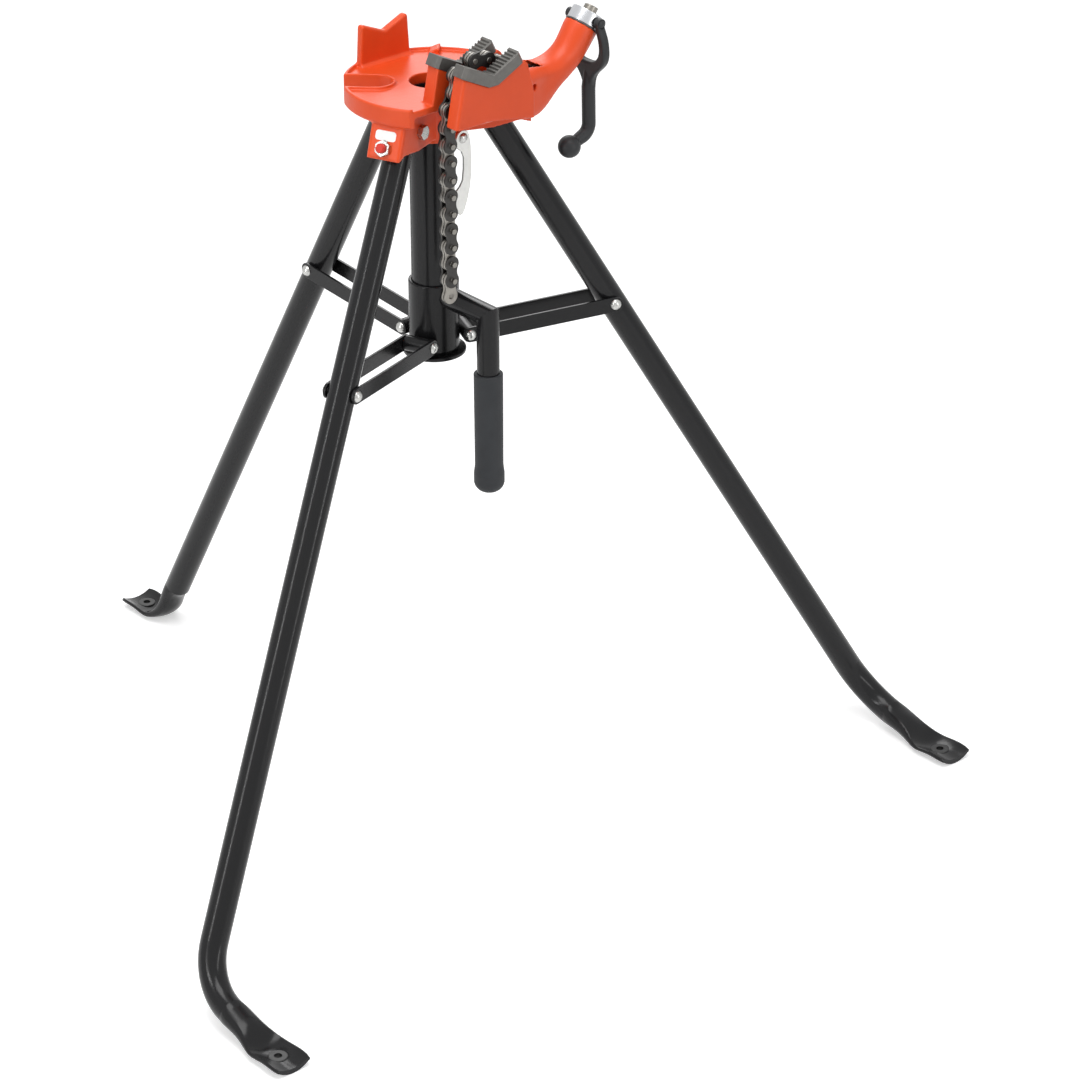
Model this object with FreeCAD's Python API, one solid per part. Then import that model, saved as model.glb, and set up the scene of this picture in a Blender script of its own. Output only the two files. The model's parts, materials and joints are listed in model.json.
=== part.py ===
import FreeCAD, Part
import math
import os

# Tripod pipe vise stand. Millimetres. Drafting frame: the post stands on +Z through the
# origin, a held pipe runs along X, and the tightening arm points to +Y.

# Post and head hub
POST_OD = 48.3
POST_WALL = 3.7
POST_FOOT_Z = 554.0
FLANGE_OD = 69.0
FLANGE_THICK = 4.0
HUB_OD = 64.0
HUB_BOTTOM_Z = 802.0

# Tray on top of the hub
TRAY_R = 96.5
TRAY_OFFSET_X = 5.0
TRAY_FLOOR_Z = 862.5
TRAY_FLOOR_THICK = 8.0
RIM_RISE = 3.5
RIM_WIDE = 4.0
SKIRT_BOTTOM_Z = 844.0
SKIRT_THICK = 6.0
PIPE_HOLE_D = 45.0
SLOT_WIDE = 34.6
SLOT_END_X = -29.0
SLOT_END_Y = -49.5
SLOT_HEADING = 225.6
SLOT_WALL = 3.2
TOOTH_AZIMUTH = 136.0
TOOTH_LONG = 11.0
TOOTH_DEPTH = 18.0
TOOTH_TOP_Z = 870.5

# Upright plate with a V that steadies the far end of a pipe
REST_FACE_X = -75.0
REST_THICK = 9.0
REST_BASE_HALF = 34.0
REST_TIP_HALF = 31.0
REST_TIP_Z = 910.0
REST_V_Z = 896.5

# Twin cheeks, jaws and the gap that the chain runs in
CHAIN_X = 74.1
CHAIN_GAP = 25.0
CHEEK_THICK = 17.5
CHEEK_FRONT_TOP_Y = -39.2
CHEEK_FRONT_FOOT_Y = -50.3
CHEEK_FOOT_Z = 847.6
SIDE_HOLE_Y = 59.0
SIDE_HOLE_Z = 867.8
SIDE_HOLE_D = 8.0
ARM_MOUTH_END_Y = 98.0
CHEEK_BACK_Y = 56.0
BED_TOP_Z = 878.0
BED_SHOULDER_Z = 855.0
JAW_THICK = 18.4
JAW_V_Z = 897.0
JAW_REACH = 36.0
JAW_RISE = 17.8
JAW_DEPTH = 13.0
JAW_VERTEX_Z = 885.5
TEETH = 8
TOOTH_DEEP = 1.9

# Tightening arm, screw, ring nut and crank
SCREW_INCLINE = 51.0
ARM_END_Y = 146.6
ARM_END_Z = 908.5
ARM_TUBE_D = 37.0
SCREW_D = 16.0
SCREW_PROUD = 9.0
SCREW_EYE_D = 15.0
WASHER_THICK = 1.6
NUT_D = 36.0
NUT_THICK = 14.6
CRANK_PIN_D = 6.0
YOKE_GAP = 39.0
YOKE_THICK = 6.5
YOKE_DROP = 26.0
FORK_DEPTH = 9.6
CRANK_BEND_R = 14.0
SHAFT_D = 13.6
BALL_D = 24.8

# Leg brackets, hinges and stop screws
LEG_AZIMUTH = 67.76
LEG_OD = 30.2
LEG_WALL = 3.2
LEG_TILT = 30.17
LEG_FOLDED_TILT = 2.5
HINGE_R = 59.4
HINGE_Z = 828.3
LEG_TOP_PAST_HINGE = 15.0
BRACKET_HALF = 20.0
BRACKET_FACE_R = 92.0
BRACKET_FACE_Z = 850.0
BRACKET_FACE_LEAN = 20.7
BRACKET_FOOT_Z = 809.5
BRACKET_WALL = 6.0
POCKET_CLEARANCE = 0.6
POCKET_CEILING_Z = 851.0
HINGE_BOLT_D = 9.5
HINGE_HEAD_AF = 14.3
HINGE_HEAD_THICK = 6.4
HINGE_NUT_THICK = 8.2
STOP_SCREW_D = 10.0
STOP_SCREW_Z = 821.5
STOP_SCREW_PROUD = 11.0
STOP_NUT_AF = 16.0
STOP_NUT_THICK = 5.5

# Folding links between the sliding collar and the legs
LEG_PIVOT_R = 202.5
LEG_PIVOT_Z = 582.2
COLLAR_PIVOT_R = 35.7
COLLAR_PIVOT_Z = 569.9
COLLAR_OD = 55.0
COLLAR_BOTTOM_Z = 556.2
COLLAR_TOP_Z = 635.2
COLLAR_CLEARANCE = 0.1
BAR_WIDE = 17.5
BAR_THICK = 3.2
BAR_CLEARANCE = 0.4
BOSS_OD = 17.3
RIVET_D = 8.0
RIVET_HEAD_D = 12.6
RIVET_HEAD_HIGH = 4.4
PIN_CLEARANCE = 0.06

# Carrying handle on the collar
HANDLE_OD = 24.6
HANDLE_WALL = 2.6
HANDLE_Z = 621.0
HANDLE_X = 91.0
GRIP_OD = 31.9
GRIP_TOP_Z = 553.9
GRIP_BOTTOM_Z = 413.3
GRIP_END_WALL = 8.0

# Hanging latch beside the hub
LATCH_X = 36.5
LATCH_THICK = 3.0
LATCH_Y = 11.1
LATCH_Z = 805.7
LATCH_EAR_R = 8.5
LATCH_BOLT_D = 7.0
LATCH_HEAD_D = 11.6

# Feet
FOOT_BEND_R = 70.0
FRONT_BEND_Z = 32.0
TOE_SLOPE = 12.4
FOOT_WIDE = 45.0
FOOT_THICK = 6.4
FOOT_CURL = 6.5
FRONT_FOOT_REACH = 125.9
FRONT_TOE_PAST_HOLE = 26.4
REAR_HOLE_R = 575.9
REAR_TOE_PAST_HOLE = 22.1
EYELET_OD = 21.0
EYELET_BORE_D = 8.7
EYELET_BARREL_D = 12.0
EYELET_FLANGE = 2.0

# Flat plate chain
PITCH = 19.05
PLATE_HIGH = 17.0
PLATE_WAIST = 12.2
PLATE_THICK = 2.5
INNER_GAP = 1.2
PLATE_PLAY = 0.25
BUSH_D = 9.4
CHAIN_PIN_D = 5.94
CHAIN_PIN_CLEARANCE = 0.08
FLUSH_PIN_PROUD = 0.7
LONG_PIN_PROUD = 4.1
CHAIN_DROP_Y = -38.3
LONG_PINS_BELOW_Z = 850.0
CHAIN_LINKS = 22
CHAIN_CLEARANCE = 2.0
ANCHOR_BACK = 44.5
PATH_SLACK = 0.5


def vec(x, y, z):
    return FreeCAD.Vector(x, y, z)


def polar(radius, azimuth, z):
    a = math.radians(azimuth)
    return vec(radius * math.cos(a), radius * math.sin(a), z)


def rod(start, end, radius):
    """Round bar from one point to another."""
    span = end.sub(start)
    return Part.makeCylinder(radius, span.Length, start, span)


def pipe(start, end, outer, inner):
    return rod(start, end, outer).cut(rod(start, end, inner))


def block(x0, x1, y0, y1, z0, z1):
    return Part.makeBox(x1 - x0, y1 - y0, z1 - z0, vec(x0, y0, z0))


def yz_plate(points, x0, x1):
    """Plate whose outline is a list of (y, z), spread from x0 to x1."""
    corners = [vec(x0, y, z) for y, z in points]
    outline = Part.makePolygon(corners + corners[:1])
    return Part.Face(outline).extrude(vec(x1 - x0, 0, 0))


def xz_plate(points, y0, y1):
    """Plate whose outline is a list of (x, z), spread from y0 to y1."""
    corners = [vec(x, y0, z) for x, z in points]
    outline = Part.makePolygon(corners + corners[:1])
    return Part.Face(outline).extrude(vec(0, y1 - y0, 0))


def fused(first, *others):
    whole = first
    for piece in others:
        whole = whole.fuse(piece)
    return whole.removeSplitter()


def edges_where(shape, wanted):
    """Edges whose middle point passes the test."""
    chosen = []
    for edge in shape.Edges:
        middle = edge.valueAt((edge.FirstParameter + edge.LastParameter) / 2)
        if wanted(middle, edge):
            chosen.append(edge)
    return chosen


def runs_along(edge, axis):
    """True for a straight edge parallel to the axis."""
    if len(edge.Vertexes) < 2:
        return False
    span = edge.Vertexes[1].Point.sub(edge.Vertexes[0].Point)
    if abs(span.Length - edge.Length) > 1e-6:
        return False
    return abs(abs(span.normalize().dot(axis)) - 1) < 1e-6


def placed(shape, start, direction):
    """Shape drawn up from the origin on +Z, set at a point along a direction."""
    seated = shape.copy()
    turn = FreeCAD.Rotation(vec(0, 0, 1), direction)
    seated.Placement = FreeCAD.Placement(start, turn)
    return seated


def hexagon(across_flats, thick, chamfered=True):
    """Hexagon prism on +Z with its far corners turned off."""
    corner = across_flats / math.sqrt(3)
    points = [polar(corner, 60 * i, 0) for i in range(7)]
    prism = Part.Face(Part.makePolygon(points)).extrude(vec(0, 0, thick))
    if not chamfered:
        return prism
    slope = 0.55 * (corner - across_flats / 2)
    low = Part.makeCylinder(corner, thick - slope)
    top = Part.makeCone(corner, across_flats / 2 * 0.99, slope, vec(0, 0, thick - slope))
    return prism.common(low.fuse(top))


def dome(diameter, high):
    """Rivet head on +Z, a cap of a sphere."""
    radius = ((diameter / 2) ** 2 + high ** 2) / (2 * high)
    ball = Part.makeSphere(radius, vec(0, 0, high - radius))
    return ball.common(Part.makeCylinder(diameter, high + 1))


def swung(shape, azimuth):
    """Copy of a piece drawn on the +X side, turned about the post."""
    turned = shape.copy()
    turned.rotate(vec(0, 0, 0), vec(0, 0, 1), azimuth)
    return turned


def mirrored(shape):
    return shape.mirror(vec(0, 0, 0), vec(0, 1, 0))


def for_each_leg(shape):
    """Left front, right front (mirror image) and rear copies of a piece on +X."""
    left = swung(shape, -LEG_AZIMUTH)
    return [left, mirrored(left), swung(shape, 180)]


# ---------------------------------------------------------------- head casting
post_r = POST_OD / 2
hub_r = HUB_OD / 2
rim_z = TRAY_FLOOR_Z + RIM_RISE
tray_axis = vec(TRAY_OFFSET_X, 0, SKIRT_BOTTOM_Z)
cheek_in = CHAIN_GAP / 2
cheek_out = cheek_in + CHEEK_THICK
near_x0 = CHAIN_X + cheek_in
near_x1 = CHAIN_X + cheek_out
far_x0 = CHAIN_X - cheek_out
far_x1 = CHAIN_X - cheek_in
jaw_slope = JAW_RISE / JAW_REACH
jaw_seat_z = JAW_V_Z - JAW_DEPTH * math.sqrt(1 + jaw_slope ** 2)
jaw_seat_y = (JAW_VERTEX_Z - jaw_seat_z) / jaw_slope
bed_end_y = CHAIN_DROP_Y + PLATE_HIGH / 2 + CHAIN_CLEARANCE


def seat_z(y):
    """Height of the jaw seat at a distance from the V's middle."""
    return jaw_seat_z + jaw_slope * abs(y)


tray = Part.makeCylinder(TRAY_R, rim_z - SKIRT_BOTTOM_Z, tray_axis)
tray = tray.makeFillet(4.0, edges_where(tray, lambda m, e: m.z < SKIRT_BOTTOM_Z + 0.1))
tray = tray.makeFillet(1.6, edges_where(tray, lambda m, e: m.z > rim_z - 0.1))
tray = tray.cut(
    Part.makeCylinder(TRAY_R - RIM_WIDE, 20, vec(TRAY_OFFSET_X, 0, TRAY_FLOOR_Z))
)
ceiling_z = TRAY_FLOOR_Z - TRAY_FLOOR_THICK
tray = tray.cut(
    Part.makeCylinder(TRAY_R - SKIRT_THICK, ceiling_z - SKIRT_BOTTOM_Z + 5, tray_axis - vec(0, 0, 5))
)
# The chain drops past the tray, so the tray stops short of the gap between the cheeks.
tray = tray.cut(block(far_x1, 200, -200, bed_end_y, 800, 950))
tray = tray.cut(block(near_x1, 200, -200, 200, 800, 950))


def slot_shape(margin, z0, z1):
    """Stadium along the rod slot, open through the rim."""
    heading = polar(1, SLOT_HEADING, 0)
    across = polar(1, SLOT_HEADING + 90, 0)
    half = SLOT_WIDE / 2 + margin
    end = vec(SLOT_END_X, SLOT_END_Y, z0)
    mouth = end + heading * 120
    corners = [end + across * half, mouth + across * half]
    corners += [mouth - across * half, end - across * half]
    lane = Part.Face(Part.makePolygon(corners + corners[:1])).extrude(vec(0, 0, z1 - z0))
    return lane.fuse(Part.makeCylinder(half, z1 - z0, end)).removeSplitter()


slot_wall = slot_shape(SLOT_WALL, SKIRT_BOTTOM_Z + 1.5, rim_z)
slot_wall = slot_wall.common(Part.makeCylinder(TRAY_R - 1, 60, tray_axis - vec(0, 0, 20)))
tray = fused(tray, slot_wall)

rest_outline = [
    (-REST_BASE_HALF, TRAY_FLOOR_Z - 1),
    (REST_BASE_HALF, TRAY_FLOOR_Z - 1),
    (REST_TIP_HALF, REST_TIP_Z),
    (0, REST_V_Z),
    (-REST_TIP_HALF, REST_TIP_Z),
]
rest = yz_plate(rest_outline, REST_FACE_X - REST_THICK, REST_FACE_X)
rest_round = edges_where(rest, lambda m, e: runs_along(e, vec(1, 0, 0)) and m.z > TRAY_FLOOR_Z)
rest = rest.makeFillet(3.0, rest_round)
rest_rim = edges_where(rest, lambda m, e: not runs_along(e, vec(1, 0, 0)) and m.z > TRAY_FLOOR_Z)
rest = rest.makeFillet(2.0, rest_rim)
rest_foot = xz_plate(
    [
        (REST_FACE_X - REST_THICK - 3, TRAY_FLOOR_Z - 0.5),
        (REST_FACE_X + 3.5, TRAY_FLOOR_Z - 0.5),
        (REST_FACE_X + 3.5, TRAY_FLOOR_Z + 0.4),
        (REST_FACE_X - 1, TRAY_FLOOR_Z + 4),
        (REST_FACE_X - REST_THICK + 1, TRAY_FLOOR_Z + 4),
        (REST_FACE_X - REST_THICK - 3, TRAY_FLOOR_Z + 0.4),
    ],
    -REST_BASE_HALF,
    REST_BASE_HALF,
)

hub = Part.makeCylinder(hub_r, ceiling_z - HUB_BOTTOM_Z + 2, vec(0, 0, HUB_BOTTOM_Z))
hub = hub.makeFillet(2.0, edges_where(hub, lambda m, e: m.z < HUB_BOTTOM_Z + 0.1))
latch_lug = rod(vec(hub_r - 16, LATCH_Y, LATCH_Z), vec(LATCH_X, LATCH_Y, LATCH_Z), LATCH_EAR_R)

cheek_outline = [
    (CHEEK_FRONT_TOP_Y, seat_z(CHEEK_FRONT_TOP_Y)),
    (CHEEK_FRONT_FOOT_Y, CHEEK_FOOT_Z),
    (-36.0, CHEEK_FOOT_Z - 1.0),
    (-8.0, CHEEK_FOOT_Z),
    (28.8, 841.5),
    (CHEEK_BACK_Y, 836.0),
    (CHEEK_BACK_Y, 866.0),
    (47.0, seat_z(42.0) - 4.0),
    (42.0, seat_z(42.0)),
    (jaw_seat_y, JAW_VERTEX_Z),
    (-jaw_seat_y, JAW_VERTEX_Z),
]
near_cheek = yz_plate(cheek_outline, near_x0, near_x1)
near_front = edges_where(
    near_cheek,
    lambda m, e: m.y < CHEEK_FRONT_TOP_Y - 3 and abs(m.z - 875) < 5 and m.x > near_x1 - 1,
)
near_cheek = near_cheek.makeFillet(4.0, near_front)
far_outline = [p for p in cheek_outline if p[1] > CHEEK_FOOT_Z + 1 or p[0] > 40]
far_outline.insert(1, (CHEEK_FRONT_TOP_Y - 8.5, TRAY_FLOOR_Z - 2))
far_outline.insert(2, (20.0, TRAY_FLOOR_Z - 2))
far_cheek = yz_plate(far_outline, far_x0, far_x1)
bed_front = [
    (bed_end_y, SKIRT_BOTTOM_Z + 4),
    (bed_end_y + 0.4, BED_SHOULDER_Z),
    (bed_end_y + 12.6, BED_TOP_Z - 0.6),
    (bed_end_y + 14.4, BED_TOP_Z),
]
bed_outline = bed_front + [
    (CHEEK_BACK_Y, BED_TOP_Z),
    (CHEEK_BACK_Y, 836.0),
    (28.8, 841.5),
    (-8.0, CHEEK_FOOT_Z),
]
bed = yz_plate(bed_outline, far_x1 - 0.5, near_x0 + 0.5)
shelf = block(far_x0, near_x0, bed_end_y, CHEEK_BACK_Y, SKIRT_BOTTOM_Z + 4, BED_SHOULDER_Z)


def casting_ring(y, z, lean, half_wide, half_high, squareness):
    """Closed rounded outline of the arm, leaning back from upright."""
    a = math.radians(lean)
    points = []
    for i in range(16):
        t = 2 * math.pi * (i + 0.5) / 16
        across = math.copysign(abs(math.cos(t)) ** (2 / squareness), math.cos(t))
        up = math.copysign(abs(math.sin(t)) ** (2 / squareness), math.sin(t))
        rise = half_high * up
        x = CHAIN_X + half_wide * across
        points.append(vec(x, y - rise * math.sin(a), z + rise * math.cos(a)))
    curve = Part.BSplineCurve()
    curve.interpolate(Points=points, PeriodicFlag=True)
    return Part.Wire(curve.toShape())


screw_dir = vec(0, math.cos(math.radians(SCREW_INCLINE)), math.sin(math.radians(SCREW_INCLINE)))
arm_end = vec(CHAIN_X, ARM_END_Y, ARM_END_Z)
neck = arm_end - screw_dir * 33
flare = arm_end - screw_dir * 10
arm_tube_r = ARM_TUBE_D / 2
arm_rings = [
    casting_ring(40.0, 863.0, 0, 27.5, 26.0, 6),
    casting_ring(60.0, 858.8, 3, 26.5, 27.8, 5),
    casting_ring(81.1, 861.7, 14, 21.0, 24.0, 4),
    casting_ring(98.0, 868.2, 32, 19.0, 17.8, 3),
    casting_ring(neck.y, neck.z, SCREW_INCLINE - 4, 17.6, 17.6, 2),
    casting_ring(flare.y, flare.z, SCREW_INCLINE, arm_tube_r - 0.2, arm_tube_r - 0.2, 2),
    casting_ring(ARM_END_Y, ARM_END_Z, SCREW_INCLINE, arm_tube_r, arm_tube_r, 2),
]
arm = Part.makeLoft(arm_rings, True, False)

# Leg bracket, drawn on +X: outer face leaning out towards its foot.
face_lean = math.tan(math.radians(BRACKET_FACE_LEAN))


def face_r(z):
    """Radius of a bracket's outer face at a height."""
    return BRACKET_FACE_R + (BRACKET_FACE_Z - z) * face_lean


bracket_outline = [
    (0, HUB_BOTTOM_Z + 6),
    (63, BRACKET_FOOT_Z - 1.5),
    (94, BRACKET_FOOT_Z + 3.5),
    (face_r(BRACKET_FOOT_Z + 3), BRACKET_FOOT_Z - 0.5),
    (face_r(BRACKET_FOOT_Z + 3), BRACKET_FOOT_Z + 3),
    (face_r(ceiling_z + 3), ceiling_z + 3),
    (0, ceiling_z + 3),
]
bracket = xz_plate(bracket_outline, -BRACKET_HALF, BRACKET_HALF)
bracket_edges = edges_where(
    bracket,
    lambda m, e: m.x > BRACKET_FACE_R - 3 and abs(m.y) > BRACKET_HALF - 0.1 and 815 < m.z < 850,
)
bracket = bracket.makeFillet(4.0, bracket_edges)

pocket_half = LEG_OD / 2 + POCKET_CLEARANCE
wall_back = BRACKET_WALL / math.cos(math.radians(BRACKET_FACE_LEAN))
pocket_in = HINGE_R - math.hypot(LEG_TOP_PAST_HINGE, LEG_OD / 2) - POCKET_CLEARANCE
pocket = xz_plate(
    [
        (pocket_in, HUB_BOTTOM_Z - 20),
        (pocket_in, POCKET_CEILING_Z),
        (face_r(POCKET_CEILING_Z) - wall_back, POCKET_CEILING_Z),
        (face_r(HUB_BOTTOM_Z - 20) - wall_back, HUB_BOTTOM_Z - 20),
    ],
    -pocket_half,
    pocket_half,
)
hinge_point = vec(HINGE_R, 0, HINGE_Z)
bolt_r = HINGE_BOLT_D / 2
bolt_hole = rod(vec(HINGE_R, -60, HINGE_Z), vec(HINGE_R, 40, HINGE_Z), bolt_r)
head_room = rod(vec(HINGE_R, BRACKET_HALF, HINGE_Z), vec(HINGE_R, BRACKET_HALF + 14, HINGE_Z), 10.5)
nut_room = rod(vec(HINGE_R, -BRACKET_HALF, HINGE_Z), vec(HINGE_R, -BRACKET_HALF - 14, HINGE_Z), 10.5)
lean = math.radians(BRACKET_FACE_LEAN)
face_normal = vec(math.cos(lean), 0, math.sin(lean))
stop_face = vec(face_r(STOP_SCREW_Z), 0, STOP_SCREW_Z)
stop_hole_from = stop_face - face_normal * (BRACKET_WALL + 3)
stop_hole = rod(stop_hole_from, stop_face + face_normal * 3, STOP_SCREW_D / 2)

tooth_profile = [
    (0, TRAY_FLOOR_Z - 1),
    (TOOTH_LONG, TRAY_FLOOR_Z - 1),
    (TOOTH_LONG, rim_z),
    (1.5, TOOTH_TOP_Z),
    (0, TOOTH_TOP_Z),
]
rim_tooth = yz_plate(tooth_profile, TRAY_R - 2 - TOOTH_DEPTH, TRAY_R - 2)
rim_tooth.rotate(vec(0, 0, 0), vec(0, 0, 1), TOOTH_AZIMUTH)
rim_tooth.translate(vec(TRAY_OFFSET_X, 0, 0))

head = fused(tray, rest, rest_foot, hub, latch_lug, near_cheek, far_cheek, bed, shelf, arm, rim_tooth)
head = fused(head, *for_each_leg(bracket))
for cutter in for_each_leg(pocket.fuse(bolt_hole).fuse(head_room).fuse(nut_room).fuse(stop_hole)):
    head = head.cut(cutter)
head = head.cut(slot_shape(0, 700, 950))
post_top_z = POCKET_CEILING_Z
head = head.cut(rod(vec(0, 0, HUB_BOTTOM_Z - 5), vec(0, 0, post_top_z), post_r))
head = head.cut(rod(vec(0, 0, post_top_z - 5), vec(0, 0, rim_z + 5), PIPE_HOLE_D / 2))

# Chain route in (y, z): from the screw down the arm, over the jaws' V and down in front.
anchor = arm_end - screw_dir * ANCHOR_BACK
chain_path = [
    (anchor.y, anchor.z),
    (101.0, 865.4),
    (83.0, 870.6),
    (66.0, 877.6),
    (48.4, 886.2),
    (31.6, 895.1),
    (14.6, 903.7),
    (-4.0, 906.7),
    (-8.2, 888.1),
    (-26.0, 895.0),
    (-27.9, 876.05),
    (-36.9, 859.3),
    (CHAIN_DROP_Y, 840.3),
    (CHAIN_DROP_Y, -CHAIN_LINKS * PITCH),
]


def next_pin(path, leg, start):
    """Point one pitch from the start on the path, or just past a corner, and its leg."""
    for i in range(leg, len(path) - 1):
        (y0, z0), (y1, z1) = path[i], path[i + 1]
        if math.hypot(y1 - start[0], z1 - start[1]) < PITCH - PATH_SLACK:
            continue
        long = math.hypot(y1 - y0, z1 - z0)
        ry, rz = (y1 - y0) / long, (z1 - z0) / long
        along = (start[0] - y0) * ry + (start[1] - z0) * rz
        off = math.hypot(start[0] - y0 - along * ry, start[1] - z0 - along * rz)
        reach = along + math.sqrt(PITCH ** 2 - off ** 2)
        return i, (y0 + ry * reach, z0 + rz * reach)


chain_pins = [chain_path[0]]
leg_of_path = 0
while len(chain_pins) <= CHAIN_LINKS:
    leg_of_path, pin_point = next_pin(chain_path, leg_of_path, chain_pins[-1])
    chain_pins.append(pin_point)

# Way for the chain through the arm, and the screw's bore.
lane_half = PLATE_HIGH / 2 + CHAIN_CLEARANCE
lane_x0 = CHAIN_X - cheek_in
lane_x1 = CHAIN_X + cheek_in
for (y0, z0), (y1, z1) in zip(chain_path[:6], chain_path[1:7]):
    run = vec(0, y1 - y0, z1 - z0).normalize()
    side = vec(0, -run.z, run.y)
    a = vec(lane_x0, y0, z0)
    b = vec(lane_x0, y1, z1)
    corners = [a + side * lane_half, b + side * lane_half]
    corners += [b - side * lane_half, a - side * lane_half]
    lane = Part.Face(Part.makePolygon(corners + corners[:1])).extrude(vec(CHAIN_GAP, 0, 0))
    lane = lane.fuse(rod(a, a + vec(CHAIN_GAP, 0, 0), lane_half))
    head = head.cut(lane)
open_top = [(-60, 840), (bed_end_y, 840)] + bed_front
open_top += [(CHEEK_BACK_Y + 10, BED_TOP_Z), (CHEEK_BACK_Y + 10, 930), (-60, 930)]
head = head.cut(yz_plate(open_top, lane_x0, lane_x1))
open_foot = block(lane_x0, lane_x1, CHEEK_BACK_Y - 8, ARM_MOUTH_END_Y, 800, SIDE_HOLE_Z + 3)
head = head.cut(open_foot)
head = head.cut(rod(anchor, arm_end + screw_dir * 5, SCREW_D / 2 + 0.8))
side_hole_from = vec(far_x0 - 5, SIDE_HOLE_Y, SIDE_HOLE_Z)
side_hole_to = vec(near_x1 + 5, SIDE_HOLE_Y, SIDE_HOLE_Z)
head = head.cut(rod(side_hole_from, side_hole_to, SIDE_HOLE_D / 2))
head = head.removeSplitter()

# ---------------------------------------------------------------- jaws
jaw_along = math.hypot(JAW_REACH, JAW_RISE)
run_y = JAW_REACH / jaw_along
run_z = JAW_RISE / jaw_along


def jaw_point(side, along, deep):
    """Point on one jaw arm: distance up the arm, and depth below its face."""
    return (side * (along * run_y + deep * run_z), JAW_V_Z + along * run_z - deep * run_y)


def jaw(x0, x1, bevel_x, teeth_x0, teeth_x1):
    outline = [
        (0, JAW_V_Z),
        jaw_point(1, jaw_along, 0),
        jaw_point(1, jaw_along, JAW_DEPTH),
        (jaw_seat_y, JAW_VERTEX_Z),
        (-jaw_seat_y, JAW_VERTEX_Z),
        jaw_point(-1, jaw_along, JAW_DEPTH),
        jaw_point(-1, jaw_along, 0),
    ]
    body = yz_plate(outline, x0, x1)
    ends = edges_where(body, lambda m, e: abs(m.y) > JAW_REACH + 1 and abs(m.x - bevel_x) < 0.1)
    ends = [e for e in ends if e.Length < JAW_DEPTH + 0.5]
    body = body.makeChamfer(3.4, ends)
    pitch = (jaw_along - 4.0) / TEETH
    for side in (1, -1):
        for i in range(TEETH):
            foot = 2.2 + i * pitch
            corners = [jaw_point(side, foot, -0.5), jaw_point(side, foot, TOOTH_DEEP)]
            corners += [jaw_point(side, foot + pitch * 0.45, TOOTH_DEEP)]
            corners += [jaw_point(side, foot + pitch * 0.72, -0.5)]
            body = body.cut(yz_plate(corners, teeth_x0, teeth_x1))
    return body


near_jaw_x1 = near_x0 + JAW_THICK
far_jaw_x0 = far_x1 - JAW_THICK
near_jaw = jaw(near_x0, near_jaw_x1, near_jaw_x1, near_x0 - 1, near_jaw_x1 - 3.2)
far_jaw = jaw(far_jaw_x0, far_x1, far_x1, far_jaw_x0 - 1, far_x1 - 3.2)

# ---------------------------------------------------------------- post and flange
post = pipe(vec(0, 0, POST_FOOT_Z), vec(0, 0, post_top_z), post_r, post_r - POST_WALL)
flange = pipe(
    vec(0, 0, POST_FOOT_Z - FLANGE_THICK), vec(0, 0, POST_FOOT_Z), FLANGE_OD / 2, post_r - POST_WALL
)
flange = flange.makeFillet(1.0, edges_where(flange, lambda m, e: e.Length > 3.1 * FLANGE_OD))

# ---------------------------------------------------------------- hinge bolts and stop screws
bolt_end = BRACKET_HALF + HINGE_NUT_THICK + 2.5
hinge_bolt = rod(vec(HINGE_R, -bolt_end, HINGE_Z), vec(HINGE_R, BRACKET_HALF, HINGE_Z), bolt_r)
hinge_bolt = hinge_bolt.fuse(
    placed(hexagon(HINGE_HEAD_AF, HINGE_HEAD_THICK), vec(HINGE_R, BRACKET_HALF, HINGE_Z), vec(0, 1, 0))
)
hinge_nut = hexagon(HINGE_HEAD_AF, HINGE_NUT_THICK)
hinge_nut = placed(hinge_nut, vec(HINGE_R, -BRACKET_HALF, HINGE_Z), vec(0, -1, 0)).cut(bolt_hole)

# The stop screw's rounded end meets the open leg's outer side.
tilt = math.radians(LEG_TILT)
leg_out = vec(math.cos(tilt), 0, math.sin(tilt))
leg_skin = hinge_point + leg_out * (LEG_OD / 2 + 0.05)
reach = (stop_face - leg_skin).dot(leg_out) / face_normal.dot(leg_out)
nose_r = 3.2
nose_gap = nose_r * math.tan(math.acos(face_normal.dot(leg_out)))
stop_tip = stop_face - face_normal * (reach - nose_gap)
stop_end = stop_face + face_normal * STOP_SCREW_PROUD
stop_screw = rod(stop_tip + face_normal * 1.8, stop_end, STOP_SCREW_D / 2)
stop_screw = stop_screw.makeFillet(
    1.6,
    edges_where(stop_screw, lambda m, e: m.sub(stop_face).dot(face_normal) > STOP_SCREW_PROUD - 0.1),
)
stop_screw = stop_screw.fuse(Part.makeCone(nose_r, STOP_SCREW_D / 2, 1.8, stop_tip, face_normal))
stop_nut = placed(hexagon(STOP_NUT_AF, STOP_NUT_THICK), stop_face, face_normal)
stop_nut = stop_nut.cut(rod(stop_face - face_normal, stop_end, STOP_SCREW_D / 2))

# ---------------------------------------------------------------- legs
leg_r = LEG_OD / 2
leg_bore = leg_r - LEG_WALL
front_bend_r = HINGE_R + (HINGE_Z - FRONT_BEND_Z) * math.tan(tilt)
front_corner = polar(front_bend_r, -LEG_AZIMUTH, FRONT_BEND_Z)
front_hole = vec(front_corner.x + FRONT_FOOT_REACH, front_corner.y, 0)
rear_toe_r = REAR_HOLE_R + REAR_TOE_PAST_HOLE


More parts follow.
